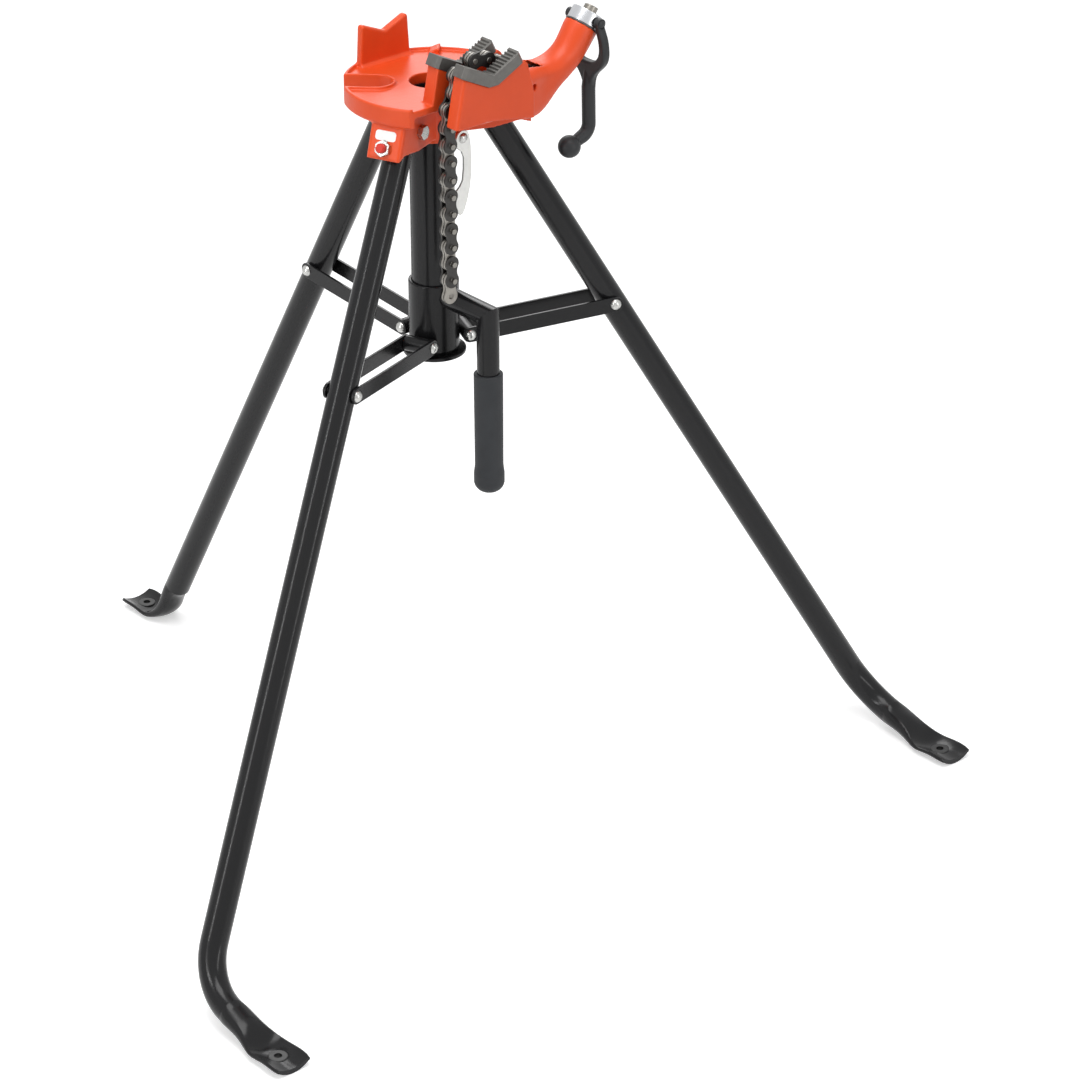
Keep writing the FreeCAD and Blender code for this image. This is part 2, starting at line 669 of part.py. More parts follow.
def section(centre, heading, pitch_angle, half_wide, half_high, curl=0.0, shoulder=None):
    """Section across a leg from four arcs: round, or pressed flat with its edges turned up."""
    h = math.radians(heading)
    p = math.radians(pitch_angle)
    across = vec(-math.sin(h), math.cos(h), 0)
    up = vec(math.cos(h) * math.sin(p), math.sin(h) * math.sin(p), math.cos(p))
    root = math.sqrt(0.5)
    inset = half_wide * (1 - root) if shoulder is None else shoulder
    side_high = half_high * root
    rise = curl

    def at(x, z):
        return centre + across * x + up * z

    right = half_wide - inset
    top_left, top_right = at(-right, side_high + rise), at(right, side_high + rise)
    low_left, low_right = at(-right, rise - side_high), at(right, rise - side_high)
    return Part.Wire([
        Part.Arc(top_left, at(0, half_high), top_right).toShape(),
        Part.Arc(top_right, at(half_wide, curl), low_right).toShape(),
        Part.Arc(low_right, at(0, -half_high), low_left).toShape(),
        Part.Arc(low_left, at(-half_wide, curl), top_left).toShape(),
    ])


foot_half = FOOT_WIDE / 2
sole_half = FOOT_THICK / 2


def finished_foot(leg, hole):
    """Flat sole, seat and hole for the eyelet."""
    leg = leg.cut(block(-700, 700, -700, 700, -40, 0))
    leg = leg.cut(rod(vec(hole.x, hole.y, -1), vec(hole.x, hole.y, 20), EYELET_BARREL_D / 2))
    return leg.cut(rod(vec(hole.x, hole.y, FOOT_THICK - 0.6), vec(hole.x, hole.y, 40), EYELET_OD / 2))


def eyelet(hole):
    seat = vec(hole.x, hole.y, FOOT_THICK - 0.6)
    barrel = rod(vec(hole.x, hole.y, 0), seat + vec(0, 0, 0.2), EYELET_BARREL_D / 2)
    collar_ring = rod(seat, seat + vec(0, 0, EYELET_FLANGE), EYELET_OD / 2)
    top_edge = edges_where(collar_ring, lambda m, e: m.z > seat.z + EYELET_FLANGE - 0.01)
    collar_ring = collar_ring.makeFillet(0.9, top_edge)
    bore = rod(vec(hole.x, hole.y, -1), seat + vec(0, 0, 9), EYELET_BORE_D / 2)
    return barrel.fuse(collar_ring).cut(bore)


def leg_line(z, azimuth):
    """Point on a leg's axis at a height."""
    return polar(HINGE_R + (HINGE_Z - z) * math.tan(tilt), azimuth, z)


def leg_holes(azimuth):
    across = polar(1, azimuth + 90, 0)
    hinge = polar(HINGE_R, azimuth, HINGE_Z)
    pivot = polar(LEG_PIVOT_R, azimuth, LEG_PIVOT_Z)
    bolt = rod(hinge - across * 40, hinge + across * 40, bolt_r + PIN_CLEARANCE)
    return bolt.fuse(rod(pivot - across * 40, pivot + across * 40, RIVET_D / 2))


def front_leg(azimuth):
    """Straight tube, a broad bend at the bottom, then a toe pressed flat along +X."""
    down = polar(math.sin(tilt), azimuth, -math.cos(tilt))
    corner = polar(front_bend_r, azimuth, FRONT_BEND_Z)
    slope = math.radians(TOE_SLOPE)
    toe_dir = vec(math.cos(slope), 0, -math.sin(slope))
    turn = math.acos(down.dot(toe_dir))
    tangent = FOOT_BEND_R * math.tan(turn / 2)
    bend_in = corner - down * tangent
    bend_out = corner + toe_dir * tangent
    top = polar(HINGE_R, azimuth, HINGE_Z) - down * LEG_TOP_PAST_HINGE
    axis = down.cross(toe_dir).normalize()
    inward = axis.cross(down).normalize()
    centre = bend_in + inward * FOOT_BEND_R
    end_ring = section(bend_out, 0, TOE_SLOPE, leg_r, leg_r)
    bend = Part.Face(end_ring).revolve(centre, axis, -math.degrees(turn))
    shank = rod(top, bend_in, leg_r)
    flat_x = front_hole.x - 22
    toe_x = front_hole.x + FRONT_TOE_PAST_HOLE
    y = corner.y
    heel = bend_out + toe_dir * 22
    axis_z = sole_half - 0.3
    rings = [
        end_ring,
        section(heel, 0, TOE_SLOPE, leg_r + 1.6, leg_r - 3.4, 0.6),
        section(vec(flat_x - 10, y, 7.6), 0, 8, foot_half - 2.2, 6.2, 2.6, 3.4),
        section(vec(flat_x + 2, y, axis_z + 0.4), 0, 1, foot_half, sole_half + 0.3, FOOT_CURL - 1.5, 2.4),
        section(vec(flat_x + 18, y, axis_z), 0, 0, foot_half, sole_half, FOOT_CURL, 2.0),
        section(vec(toe_x - 6, y, axis_z), 0, 0, foot_half, sole_half, FOOT_CURL, 2.0),
        section(vec(toe_x, y, axis_z), 0, 0, foot_half - 1.2, sole_half - 0.3, FOOT_CURL - 0.6, 2.0),
    ]
    toe = Part.makeLoft(rings, True, False)
    leg = shank.fuse(bend).fuse(toe)
    leg = leg.cut(rod(top - down * 5, bend_in - down * 2, leg_bore))
    leg = leg.cut(leg_holes(azimuth))
    return finished_foot(leg, vec(front_hole.x, y, 0))


def rear_leg():
    """Straight tube folded sharply into a flat toe that points away from the post."""
    down = polar(math.sin(tilt), 180, -math.cos(tilt))
    top = polar(HINGE_R, 180, HINGE_Z) - down * LEG_TOP_PAST_HINGE
    press_start = leg_line(58, 180)
    knee = leg_line(34, 180)
    heel = polar(REAR_HOLE_R - 39, 180, 11.5)
    axis_z = sole_half - 0.3
    sole_start = polar(REAR_HOLE_R - 25, 180, axis_z + 1.2)
    seat = polar(REAR_HOLE_R - 8, 180, axis_z)
    toe_in = polar(rear_toe_r - 7, 180, axis_z)
    toe_end = polar(rear_toe_r, 180, axis_z)
    rings = [
        section(press_start, 180, 90 - LEG_TILT, leg_r, leg_r),
        section(knee, 180, 84 - LEG_TILT, leg_r + 2.2, leg_r - 4.8, 0.3),
        section(heel, 180, 34, foot_half - 2.0, 6.2, 1.4, 3.4),
        section(sole_start, 180, 6, foot_half, sole_half + 0.6, 3.2, 2.4),
        section(seat, 180, 0, foot_half, sole_half, FOOT_CURL - 1, 2.0),
        section(toe_in, 180, 0, foot_half, sole_half, FOOT_CURL, 2.0),
        section(toe_end, 180, 0, foot_half - 1.2, sole_half - 0.3, FOOT_CURL - 0.6, 2.0),
    ]
    toe = Part.makeLoft(rings, True, False)
    leg = rod(top, press_start, leg_r).fuse(toe)
    leg = leg.cut(rod(top - down * 5, press_start - down * 2, leg_bore))
    leg = leg.cut(leg_holes(180))
    return finished_foot(leg, polar(REAR_HOLE_R, 180, 0))


left_leg = front_leg(-LEG_AZIMUTH)
right_leg = mirrored(left_leg)
back_leg = rear_leg()
left_eyelet = eyelet(front_hole)
right_eyelet = mirrored(left_eyelet)
back_eyelet = eyelet(polar(REAR_HOLE_R, 180, 0))
cross_pin = rod(
    vec(LEG_PIVOT_R, -leg_r + 0.1, LEG_PIVOT_Z), vec(LEG_PIVOT_R, leg_r - 0.1, LEG_PIVOT_Z), RIVET_D / 2
)

# ---------------------------------------------------------------- links
bar_in = leg_r + BAR_CLEARANCE
bar_out = bar_in + BAR_THICK
link_from = vec(COLLAR_PIVOT_R, 0, COLLAR_PIVOT_Z)
link_to = vec(LEG_PIVOT_R, 0, LEG_PIVOT_Z)
link_run = (link_to - link_from).normalize()
link_side = vec(-link_run.z, 0, link_run.x)


def link_bar(y0, y1):
    """Flat bar with round ends and a hole at each pivot."""
    half = BAR_WIDE / 2
    a = vec(link_from.x, y0, link_from.z)
    b = vec(link_to.x, y0, link_to.z)
    edges = [
        Part.makeLine(a + link_side * half, b + link_side * half),
        Part.Arc(b + link_side * half, b + link_run * half, b - link_side * half).toShape(),
        Part.makeLine(b - link_side * half, a - link_side * half),
        Part.Arc(a - link_side * half, a - link_run * half, a + link_side * half).toShape(),
    ]
    bar = Part.Face(Part.Wire(edges)).extrude(vec(0, y1 - y0, 0))
    for pivot in (link_from, link_to):
        bar = bar.cut(rod(pivot - vec(0, 50, 0), pivot + vec(0, 50, 0), RIVET_D / 2))
    return bar


link_bars = [link_bar(bar_in, bar_out), link_bar(-bar_out, -bar_in)]


def rivet_pair():
    """Riveted pin through the collar's boss, and headed stubs at the leg."""
    heads = []
    shank = rod(link_from - vec(0, bar_out, 0), link_from + vec(0, bar_out, 0), RIVET_D / 2)
    for side in (1, -1):
        away = vec(0, side, 0)
        cap = dome(RIVET_HEAD_D, RIVET_HEAD_HIGH)
        shank = shank.fuse(placed(cap, link_from + away * bar_out, away))
        stub = rod(link_to + away * (bar_in - 0.2), link_to + away * bar_out, RIVET_D / 2)
        heads.append(stub.fuse(placed(cap, link_to + away * bar_out, away)))
    return [shank] + heads


link_rivets = rivet_pair()

# ---------------------------------------------------------------- collar and handle
collar_bore = post_r + COLLAR_CLEARANCE
collar = pipe(vec(0, 0, COLLAR_BOTTOM_Z), vec(0, 0, COLLAR_TOP_Z), COLLAR_OD / 2, collar_bore)
collar = collar.makeChamfer(1.0, edges_where(collar, lambda m, e: e.Length > 3.1 * COLLAR_OD))
collar_body = rod(vec(0, 0, COLLAR_BOTTOM_Z - 5), vec(0, 0, COLLAR_TOP_Z + 5), COLLAR_OD / 2)
boss_half = bar_in - 0.1
boss_bore = RIVET_D / 2 + PIN_CLEARANCE
boss = pipe(link_from - vec(0, boss_half, 0), link_from + vec(0, boss_half, 0), BOSS_OD / 2, boss_bore)
boss = boss.cut(collar_body)

handle_r = HANDLE_OD / 2
arm_axis_end = vec(HANDLE_X, 0, HANDLE_Z)
over = HANDLE_OD
mitre_out = xz_plate(
    [
        (HANDLE_X - over, HANDLE_Z - over),
        (HANDLE_X + over, HANDLE_Z + over),
        (HANDLE_X + over * 2, HANDLE_Z - over),
    ],
    -over,
    over,
)
handle_arm = pipe(vec(5, 0, HANDLE_Z), arm_axis_end + vec(over, 0, 0), handle_r, handle_r - HANDLE_WALL)
handle_arm = handle_arm.cut(collar_body).cut(mitre_out)
stem_foot_z = GRIP_BOTTOM_Z + GRIP_END_WALL
handle_stem = pipe(
    vec(HANDLE_X, 0, stem_foot_z), vec(HANDLE_X, 0, HANDLE_Z + over), handle_r, handle_r - HANDLE_WALL
)
mitre_in = xz_plate(
    [
        (HANDLE_X - over, HANDLE_Z - over),
        (HANDLE_X + over * 2, HANDLE_Z + over * 2),
        (HANDLE_X - over, HANDLE_Z + over * 2),
    ],
    -over,
    over,
)
handle_stem = handle_stem.cut(mitre_in)
grip_r = GRIP_OD / 2
bulb_r = grip_r + 0.8
grip_top = vec(grip_r - 1.5, 0, GRIP_TOP_Z)
grip_shoulder = vec(grip_r, 0, GRIP_TOP_Z - 1.5)
grip_waist = vec(grip_r - 0.4, 0, GRIP_BOTTOM_Z + 32)
bulb_top = vec(bulb_r, 0, GRIP_BOTTOM_Z + 22)
bulb_foot = vec(bulb_r, 0, GRIP_BOTTOM_Z + 12)
grip_end = vec(4, 0, GRIP_BOTTOM_Z)
top_middle = vec(0, 0, GRIP_TOP_Z)
end_middle = vec(0, 0, GRIP_BOTTOM_Z)
grip_profile = Part.Wire([
    Part.makeLine(top_middle, grip_top),
    Part.Arc(grip_top, vec(grip_r - 0.44, 0, GRIP_TOP_Z - 0.44), grip_shoulder).toShape(),
    Part.makeLine(grip_shoulder, grip_waist),
    Part.makeLine(grip_waist, bulb_top),
    Part.makeLine(bulb_top, bulb_foot),
    Part.Arc(bulb_foot, vec(bulb_r * 0.74, 0, GRIP_BOTTOM_Z + 3), grip_end).toShape(),
    Part.makeLine(grip_end, end_middle),
    Part.makeLine(end_middle, top_middle),
])
grip = Part.Face(grip_profile).revolve(vec(0, 0, 0), vec(0, 0, 1), 360)
grip = grip.cut(rod(vec(0, 0, stem_foot_z), vec(0, 0, GRIP_TOP_Z + 5), handle_r))
grip.translate(vec(HANDLE_X, 0, 0))

# ---------------------------------------------------------------- latch
latch_path = [
    (LATCH_Y + 8.4, LATCH_Z + 2.0),
    (LATCH_Y + 10.4, LATCH_Z - 10.0),
    (LATCH_Y + 11.4, LATCH_Z - 27.0),
    (LATCH_Y + 10.9, LATCH_Z - 43.0),
    (LATCH_Y + 8.8, LATCH_Z - 58.0),
    (LATCH_Y + 5.4, LATCH_Z - 71.0),
    (LATCH_Y + 1.2, LATCH_Z - 82.0),
    (LATCH_Y - 1.6, LATCH_Z - 86.2),
    (LATCH_Y - 4.6, LATCH_Z - 87.0),
    (LATCH_Y - 8.3, LATCH_Z - 84.0),
    (LATCH_Y - 10.8, LATCH_Z - 70.0),
    (LATCH_Y - 10.4, LATCH_Z - 60.6),
    (LATCH_Y - 8.1, LATCH_Z - 57.4),
    (LATCH_Y - 4.6, LATCH_Z - 54.6),
    (LATCH_Y - 0.6, LATCH_Z - 48.4),
    (LATCH_Y + 0.9, LATCH_Z - 36.0),
    (LATCH_Y + 1.1, LATCH_Z - 22.5),
    (LATCH_Y - 1.7, LATCH_Z - 15.4),
    (LATCH_Y - 8.0, LATCH_Z - 9.8),
    (LATCH_Y - 8.4, LATCH_Z - 2.0),
]
latch = yz_plate(latch_path, LATCH_X, LATCH_X + LATCH_THICK)
latch = latch.fuse(
    rod(vec(LATCH_X, LATCH_Y, LATCH_Z), vec(LATCH_X + LATCH_THICK, LATCH_Y, LATCH_Z), LATCH_EAR_R)
).removeSplitter()
latch = latch.cut(
    rod(vec(0, LATCH_Y, LATCH_Z), vec(60, LATCH_Y, LATCH_Z), LATCH_BOLT_D / 2 + PIN_CLEARANCE)
)
latch_gap = 0.15
latch.translate(vec(latch_gap, 0, 0))
head_x = LATCH_X + LATCH_THICK + 2 * latch_gap
latch_bolt = rod(vec(hub_r - 6.5, LATCH_Y, LATCH_Z), vec(head_x, LATCH_Y, LATCH_Z), LATCH_BOLT_D / 2)
head = head.cut(latch_bolt)
latch_bolt = latch_bolt.fuse(placed(dome(LATCH_HEAD_D, 3.4), vec(head_x, LATCH_Y, LATCH_Z), vec(1, 0, 0)))

# ---------------------------------------------------------------- screw, nut and crank
plate_x = INNER_GAP / 2
inner_out = plate_x + PLATE_THICK
outer_in = inner_out + PLATE_PLAY
outer_out = outer_in + PLATE_THICK
nut_seat = arm_end + screw_dir * WASHER_THICK
nut_mid = nut_seat + screw_dir * (NUT_THICK / 2)
nut_top = nut_seat + screw_dir * NUT_THICK
screw_r = SCREW_D / 2
washer = pipe(arm_end, nut_seat, ARM_TUBE_D / 2 + 0.4, screw_r + 0.6)
nut_gap = 0.05
nut_start = nut_seat + screw_dir * nut_gap
ring_nut = pipe(nut_start, nut_top, NUT_D / 2, screw_r + 0.05)
ring_nut = ring_nut.makeChamfer(
    1.2, edges_where(ring_nut, lambda m, e: e.Length > 3.1 * NUT_D)
)
tension_screw = rod(anchor, nut_top + screw_dir * SCREW_PROUD, screw_r)
tongue_top = anchor + screw_dir * (PLATE_HIGH / 2 + CHAIN_CLEARANCE)
for side in (1, -1):
    flat = Part.makeBox(SCREW_D, 2 * SCREW_D, 2 * SCREW_D, vec(-SCREW_D / 2, -SCREW_D, -2 * SCREW_D))
    beside = vec(side * (inner_out + SCREW_D / 2), 0, 0)
    tension_screw = tension_screw.cut(placed(flat, tongue_top + beside, screw_dir))
eye_half = vec(inner_out, 0, 0)
tension_screw = tension_screw.fuse(rod(anchor - eye_half, anchor + eye_half, SCREW_EYE_D / 2))
tension_screw = tension_screw.makeChamfer(
    1.5, edges_where(tension_screw, lambda m, e: m.z > nut_top.z + 3 and e.Length > 3 * SCREW_D)
)
tension_screw = tension_screw.cut(
    rod(vec(CHAIN_X - 20, anchor.y, anchor.z), vec(CHAIN_X + 20, anchor.y, anchor.z), CHAIN_PIN_D / 2)
)

pin_r = CRANK_PIN_D / 2
yoke_in = YOKE_GAP / 2
yoke_out = yoke_in + YOKE_THICK
crank_pins = []
for side in (1, -1):
    inner = vec(CHAIN_X + side * (NUT_D / 2 - 4), nut_mid.y, nut_mid.z)
    outer = vec(CHAIN_X + side * (yoke_out + 0.4), nut_mid.y, nut_mid.z)
    pin = rod(inner, outer, pin_r)
    ring_nut = ring_nut.cut(pin)
    crank_pins.append(pin.fuse(placed(dome(8.4, 1.8), outer, vec(side, 0, 0))))

# Crank, drawn hanging from the nut's pins: forged fork, shaft, bend and ball.
hang = vec(0, 0.075, -1).normalize()
fork_normal = vec(1, 0, 0).cross(hang)
yoke_mid = yoke_in + YOKE_THICK / 2
eye_r = 5.6


def fork_point(x, drop):
    """Point in the fork's middle plane, below the nut's pins."""
    return nut_mid + vec(x, 0, 0) + hang * drop


def smooth_line(points):
    curve = Part.BSplineCurve()
    curve.interpolate([fork_point(x, drop) for x, drop in points])
    return curve.toShape()


def fork_shape():
    """U of two bowed arms that run together into the top of the shaft."""
    crotch = YOKE_DROP + 21.5
    side = [
        (yoke_out, 0),
        (yoke_out + 1.6, 6),
        (yoke_out + 5.0, 15),
        (yoke_out + 6.7, YOKE_DROP),
        (yoke_out + 6.6, YOKE_DROP + 8),
        (yoke_out + 3.6, YOKE_DROP + 18),
        (yoke_out - 4.0, YOKE_DROP + 27),
        (SHAFT_D, YOKE_DROP + 35),
        (SHAFT_D / 2 + 2.4, YOKE_DROP + 42),
        (SHAFT_D / 2 + 0.1, YOKE_DROP + 50),
        (SHAFT_D / 2 - 1.4, YOKE_DROP + 60),
    ]
    half_inner = [
        (yoke_in, 0),
        (yoke_in, 8),
        (yoke_in + 2.2, 16),
        (yoke_in + 3.6, YOKE_DROP - 1),
        (yoke_in + 2.8, YOKE_DROP + 7),
        (yoke_in - 0.6, YOKE_DROP + 14),
        (yoke_in - 7.0, crotch - 2.0),
        (yoke_in - 13.5, crotch - 0.2),
    ]
    inner = half_inner + [(0, crotch)] + [(-x, drop) for x, drop in half_inner[::-1]]
    other_side = [(-x, drop) for x, drop in side]
    right_top = Part.makeLine(fork_point(*side[0]), fork_point(*inner[0]))
    left_top = Part.makeLine(fork_point(*inner[-1]), fork_point(*other_side[0]))
    foot = Part.makeLine(fork_point(*other_side[-1]), fork_point(*side[-1]))
    edges = [smooth_line(side), right_top, smooth_line(inner), left_top, smooth_line(other_side), foot]
    outline = Part.Face(Part.Wire(Part.__sortEdges__(edges)))
    outline.translate(fork_normal * (-FORK_DEPTH / 2))
    plate = outline.extrude(fork_normal * FORK_DEPTH)
    half = FORK_DEPTH / 2
    long_edges = edges_where(
        plate, lambda m, e: e.Length > 30 and abs(abs(m.sub(nut_mid).dot(fork_normal)) - half) < 0.01
    )
    return plate.makeFillet(YOKE_THICK * 0.44, long_edges)


def crank_shape():
    """Whole crank: fork with its two eyes, tapering shaft, bend and ball."""
    elbow = vec(CHAIN_X, 157.6, 786.0)
    ball_centre = vec(CHAIN_X, 129.8, 775.4)
    shaft_top = fork_point(0, YOKE_DROP + 30)
    down = elbow.sub(shaft_top).normalize()
    inward = ball_centre.sub(elbow).normalize()
    turn = math.acos(down.dot(inward))
    tangent = CRANK_BEND_R * math.tan(turn / 2)
    bend_in = elbow - down * tangent
    bend_out = elbow + inward * tangent
    thin_r = SHAFT_D / 2
    thick_r = thin_r + 0.7
    swell = rod(shaft_top + down * 22, bend_in, thick_r)
    swell = swell.fuse(Part.makeCone(FORK_DEPTH / 2 - 0.3, thick_r, 22, shaft_top, down))
    axis = down.cross(inward).normalize()
    centre = bend_in + axis.cross(down) * CRANK_BEND_R
    disc = Part.Face(Part.Wire(Part.makeCircle(thick_r, bend_in, down)))
    bend = disc.revolve(centre, axis, math.degrees(turn))
    neck_bar = Part.makeCone(thick_r, thin_r - 0.6, ball_centre.sub(bend_out).Length, bend_out, inward)
    ball = Part.makeSphere(BALL_D / 2, ball_centre)
    eyes = []
    for side in (1, -1):
        eye = fork_point(side * yoke_mid, 0)
        eyes.append(rod(eye - vec(YOKE_THICK / 2, 0, 0), eye + vec(YOKE_THICK / 2, 0, 0), eye_r))
    return fused(fork_shape(), swell, bend, neck_bar, ball, *eyes)


crank = crank_shape()
for side in (1, -1):
    a = vec(CHAIN_X + side * (yoke_in - 2), nut_mid.y, nut_mid.z)
    b = vec(CHAIN_X + side * (yoke_out + 3), nut_mid.y, nut_mid.z)
    crank = crank.cut(rod(a, b, pin_r + PIN_CLEARANCE))
    spot_face = vec(CHAIN_X + side * (yoke_out + 0.3), nut_mid.y, nut_mid.z)
    crank = crank.cut(rod(spot_face, b, eye_r - 0.4))

# ---------------------------------------------------------------- chain links
end_r = PLATE_HIGH / 2
waist = PLATE_WAIST / 2
hollow_r = ((PITCH / 2) ** 2 + waist ** 2 - end_r ** 2) / (2 * (end_r - waist))
touch = math.atan2(waist + hollow_r, PITCH / 2)


def link_plate(x0, x1):
    """Figure-eight plate along +Y between two pins."""
    ty = end_r * math.cos(touch)
    tz = end_r * math.sin(touch)
    a_top, a_low = vec(x0, ty, tz), vec(x0, ty, -tz)
    b_top, b_low = vec(x0, PITCH - ty, tz), vec(x0, PITCH - ty, -tz)
    edges = [
        Part.Arc(a_top, vec(x0, -end_r, 0), a_low).toShape(),
        Part.Arc(a_low, vec(x0, PITCH / 2, -waist), b_low).toShape(),
        Part.Arc(b_low, vec(x0, PITCH + end_r, 0), b_top).toShape(),
        Part.Arc(b_top, vec(x0, PITCH / 2, waist), a_top).toShape(),
    ]
    return Part.Face(Part.Wire(edges)).extrude(vec(x1 - x0, 0, 0))


def pin_at(y, half, radius):
    return rod(vec(-half, y, 0), vec(half, y, 0), radius)


def inner_link():
    """Two plates joined by the bushes between them, with bores for the pins."""
    link = link_plate(plate_x, inner_out).fuse(link_plate(-inner_out, -plate_x))
    for y in (0, PITCH):
        link = link.fuse(pin_at(y, plate_x + 0.5, BUSH_D / 2))
    for y in (0, PITCH):
        link = link.cut(pin_at(y, 30, CHAIN_PIN_D / 2 + CHAIN_PIN_CLEARANCE))
    return link


def outer_link(first_half, second_half):
    """Two outer plates riveted on their pins."""
    link = link_plate(outer_in, outer_out).fuse(link_plate(-outer_out, -outer_in))
    link = link.fuse(pin_at(0, first_half, CHAIN_PIN_D / 2))
    return link.fuse(pin_at(PITCH, second_half, CHAIN_PIN_D / 2))


def pin_half(index):
    proud = LONG_PIN_PROUD if chain_pins[index][1] < LONG_PINS_BELOW_Z else FLUSH_PIN_PROUD
    return outer_out + proud


chain_links = []
for i in range(CHAIN_LINKS):
    y0, z0 = chain_pins[i]
    y1, z1 = chain_pins[i + 1]
    link = outer_link(pin_half(i), pin_half(i + 1)) if i % 2 == 0 else inner_link()
    link.rotate(vec(0, 0, 0), vec(1, 0, 0), math.degrees(math.atan2(z1 - z0, y1 - y0)))
    link.translate(vec(CHAIN_X, y0, z0))
    chain_links.append(link)

# ---------------------------------------------------------------- pieces by name
pieces = {
    "vise_base": [head],
    "near_jaw": [near_jaw],
    "far_jaw": [far_jaw],
    "center_post": [post],
    "post_flange": [flange],
    "leg_hinge_bolts": for_each_leg(hinge_bolt),
    "leg_hinge_nuts": for_each_leg(hinge_nut),
    "stop_screws": for_each_leg(stop_screw),
    "stop_lock_nuts": for_each_leg(stop_nut),
    "latch_bolt": [latch_bolt],
    "latch_hook": [latch],
    "slide_collar": [collar],
    "link_bosses": for_each_leg(boss),
    "handle_arm": [handle_arm],
    "handle_stem": [handle_stem],
    "hand_grip": [grip],
    "leg_left": [left_leg],
    "leg_right": [right_leg],
    "leg_rear": [back_leg],
    "eyelet_left": [left_eyelet],
    "eyelet_right": [right_eyelet],
    "eyelet_rear": [back_eyelet],
    "thrust_washer": [washer],
    "ring_nut": [ring_nut],
    "tension_screw": [tension_screw],
    "crank_pins": crank_pins,
    "crank_handle": [crank],
}
for name, copies in (("bars", link_bars), ("rivets", link_rivets), ("pin", [cross_pin])):
    sets = list(zip(*[for_each_leg(piece) for piece in copies]))
    for side, solids in zip(("left", "right", "rear"), sets):
        label = "leg_pin_" + side if name == "pin" else "link_" + name + "_" + side
        pieces[label] = list(solids)
for i, link in enumerate(chain_links):
    pieces["chain_link_%02d" % (i + 1)] = [link]

# The feet reach furthest on every side, so they centre the object over the origin.
sole_points = [p for leg in (left_leg, right_leg, back_leg) for p in leg.tessellate(0.1)[0]]
west = min(p.x for p in sole_points)
east = max(p.x for p in sole_points)
shift = vec(-(west + east) / 2, 0, -min(p.z for p in sole_points))

# How far the collar climbs as the legs fold against the post, and how far the links turn.
fold_turn = LEG_TILT - LEG_FOLDED_TILT
pivot_arm = math.hypot(LEG_PIVOT_R - HINGE_R, HINGE_Z - LEG_PIVOT_Z)
folded_lean = math.atan2(LEG_PIVOT_R - HINGE_R, HINGE_Z - LEG_PIVOT_Z) - math.radians(fold_turn)
folded_r = HINGE_R + pivot_arm * math.sin(folded_lean)
folded_z = HINGE_Z - pivot_arm * math.cos(folded_lean)
link_long = link_to.sub(link_from).Length
link_drop = math.sqrt(link_long ** 2 - (folded_r - COLLAR_PIVOT_R) ** 2)
collar_travel = folded_z + link_drop - COLLAR_PIVOT_Z
link_rest = math.degrees(math.atan2(link_to.z - link_from.z, link_to.x - link_from.x))
link_turn = link_rest + math.degrees(math.atan2(link_drop, folded_r - COLLAR_PIVOT_R))

os.makedirs("parts", exist_ok=True)
for node, solids in pieces.items():
    group = solids[0] if len(solids) == 1 else Part.makeCompound(solids)
    group = group.copy()
    group.translate(shift)
    group.exportStep("parts/" + node + ".step")
print("shift", shift, "length", east - west)
print("collar travel", collar_travel, "leg turn", fold_turn, "link turn", link_turn)
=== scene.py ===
import json
import math

import bmesh
import bpy
from mathutils import Matrix, Vector
from mathutils.bvhtree import BVHTree


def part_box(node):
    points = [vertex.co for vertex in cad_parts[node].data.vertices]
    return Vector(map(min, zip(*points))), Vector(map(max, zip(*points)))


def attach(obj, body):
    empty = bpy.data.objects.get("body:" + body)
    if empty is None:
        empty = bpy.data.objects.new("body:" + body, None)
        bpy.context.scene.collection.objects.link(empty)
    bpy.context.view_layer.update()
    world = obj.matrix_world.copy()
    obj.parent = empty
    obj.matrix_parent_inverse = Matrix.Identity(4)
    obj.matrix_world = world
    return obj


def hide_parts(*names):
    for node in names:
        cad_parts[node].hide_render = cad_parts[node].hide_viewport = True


MM = 0.001

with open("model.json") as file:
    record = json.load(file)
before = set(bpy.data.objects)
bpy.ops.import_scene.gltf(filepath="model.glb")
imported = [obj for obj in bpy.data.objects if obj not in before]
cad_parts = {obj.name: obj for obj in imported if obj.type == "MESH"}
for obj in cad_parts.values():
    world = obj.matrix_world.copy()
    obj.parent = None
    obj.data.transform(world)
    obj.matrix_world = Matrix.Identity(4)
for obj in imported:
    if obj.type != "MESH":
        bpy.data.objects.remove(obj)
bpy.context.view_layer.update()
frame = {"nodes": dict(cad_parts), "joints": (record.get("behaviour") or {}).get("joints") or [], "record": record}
scene = bpy.context.scene

NODE_SLOT = {part["node"]: part["material_slot"] for part in frame["record"]["subparts"]}
BODIES = frame["record"]["behaviour"]["bodies"]
BODY_OF = {node: body for body, nodes in BODIES.items() for node in nodes}
JOINTS = {joint["name"]: joint for joint in frame["joints"]}


def middle_x(node):
    """Middle of a node's box along X."""
    low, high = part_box(node)
    return (low.x + high.x) / 2


# ---------------------------------------------------------------- shader maths
# A Mix node has several sockets of one name, so its colour sockets go by number.
MIX_FACTOR, MIX_FIRST, MIX_SECOND, MIX_RESULT = 0, 6, 7, 2


class Socket:
    """A node's output that can be used in arithmetic."""

    def __init__(self, shading, link):
        self.shading = shading
        self.link = link

    def _math(self, operation, *values):
        return self.shading.node("ShaderNodeMath", {"operation": operation}, dict(enumerate(values)))

    def __add__(self, other):
        return self._math("ADD", self, other)

    __radd__ = __add__

    def __mul__(self, other):
        return self._math("MULTIPLY", self, other)

    __rmul__ = __mul__

    def highest(self, other):
        """The larger of two values at each point."""
        return self._math("MAXIMUM", self, other)


